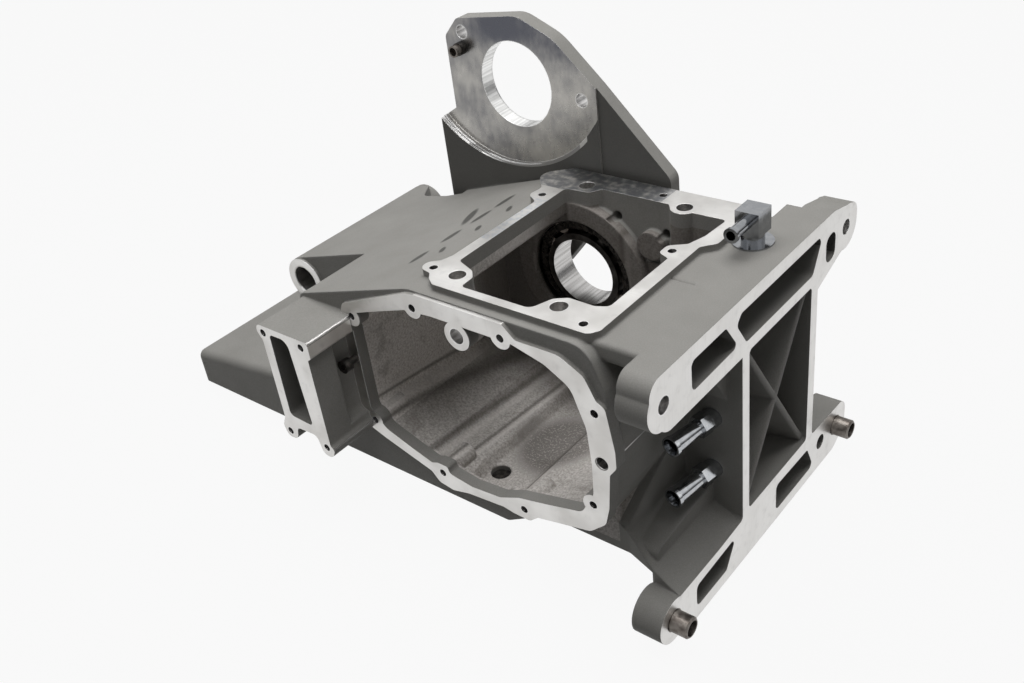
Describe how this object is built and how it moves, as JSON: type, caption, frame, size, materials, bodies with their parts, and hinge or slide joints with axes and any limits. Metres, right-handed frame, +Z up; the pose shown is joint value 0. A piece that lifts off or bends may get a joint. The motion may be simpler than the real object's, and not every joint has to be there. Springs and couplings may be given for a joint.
{
  "type": "motorcycle gearbox housing",
  "caption": "Cast and machined gearbox housing with side-door and top-cover openings, engine face rails, starter plate, swing-arm pivot tail and oil pan hood.",
  "frame": {"origin": "centre of the main bearing's bore", "axes": "+Y along the main shaft towards the starter plate side, +X towards the engine face, +Z up"},
  "size_m": [0.456, 0.2705, 0.3034],
  "materials": {
    "casting": "blasted, machined faces bright",
    "bearing_steel": "ground",
    "bearing_cage": "dark pressed steel",
    "spring_steel": "oiled",
    "needle_steel": "ground",
    "plated_fitting": "bright zinc plate",
    "washer_steel": "plated",
    "dowel_steel": "turned, dull",
    "dark_steel": "black oxide"
  },
  "bodies": {
    "housing": {"housing": "casting", "main_bearing_outer_ring": "bearing_steel", "main_bearing_snap_ring": "spring_steel", "countershaft_bearing_shell": "needle_steel", "vent_elbow_block": "plated_fitting", "vent_elbow_barb": "plated_fitting", "vent_elbow_washer": "washer_steel", "upper_hose_adapter": "plated_fitting", "upper_hose_barb": "plated_fitting", "lower_hose_adapter": "plated_fitting", "lower_hose_barb": "plated_fitting", "engine_dowel_near": "dowel_steel", "engine_dowel_far": "dowel_steel", "starter_stud": "dark_steel", "starter_stud_collar": "dark_steel", "spout_side_screw": "dark_steel", "drain_plug": "dark_steel", "drain_plug_washer": "washer_steel"},
    "main_bearing_inner": {"main_bearing_inner_ring": "bearing_steel"},
    "main_roller_set": {"main_bearing_cage": "bearing_cage", "main_bearing_rollers": "bearing_steel"},
    "needle_set": {"countershaft_bearing_cage": "needle_steel", "countershaft_bearing_rollers": "needle_steel"}
  },
  "joints": [
    {"name": "main_bearing_turn", "type": "hinge", "parent": "housing", "child": "main_bearing_inner", "pos_m": [0, 0, 0], "axis": [0, 1, 0], "continuous": true},
    {"name": "main_roller_set_turn", "type": "hinge", "parent": "housing", "child": "main_roller_set", "pos_m": [0, 0, 0], "axis": [0, 1, 0], "continuous": true},
    {"name": "countershaft_needles_turn", "type": "hinge", "parent": "housing", "child": "needle_set", "pos_m": [0.062, 0, -0.038], "axis": [0, 1, 0], "continuous": true}
  ],
  "couplings": [
    {"joint": "main_roller_set_turn", "follows": "main_bearing_turn", "ratio": 0.422}
  ]
}
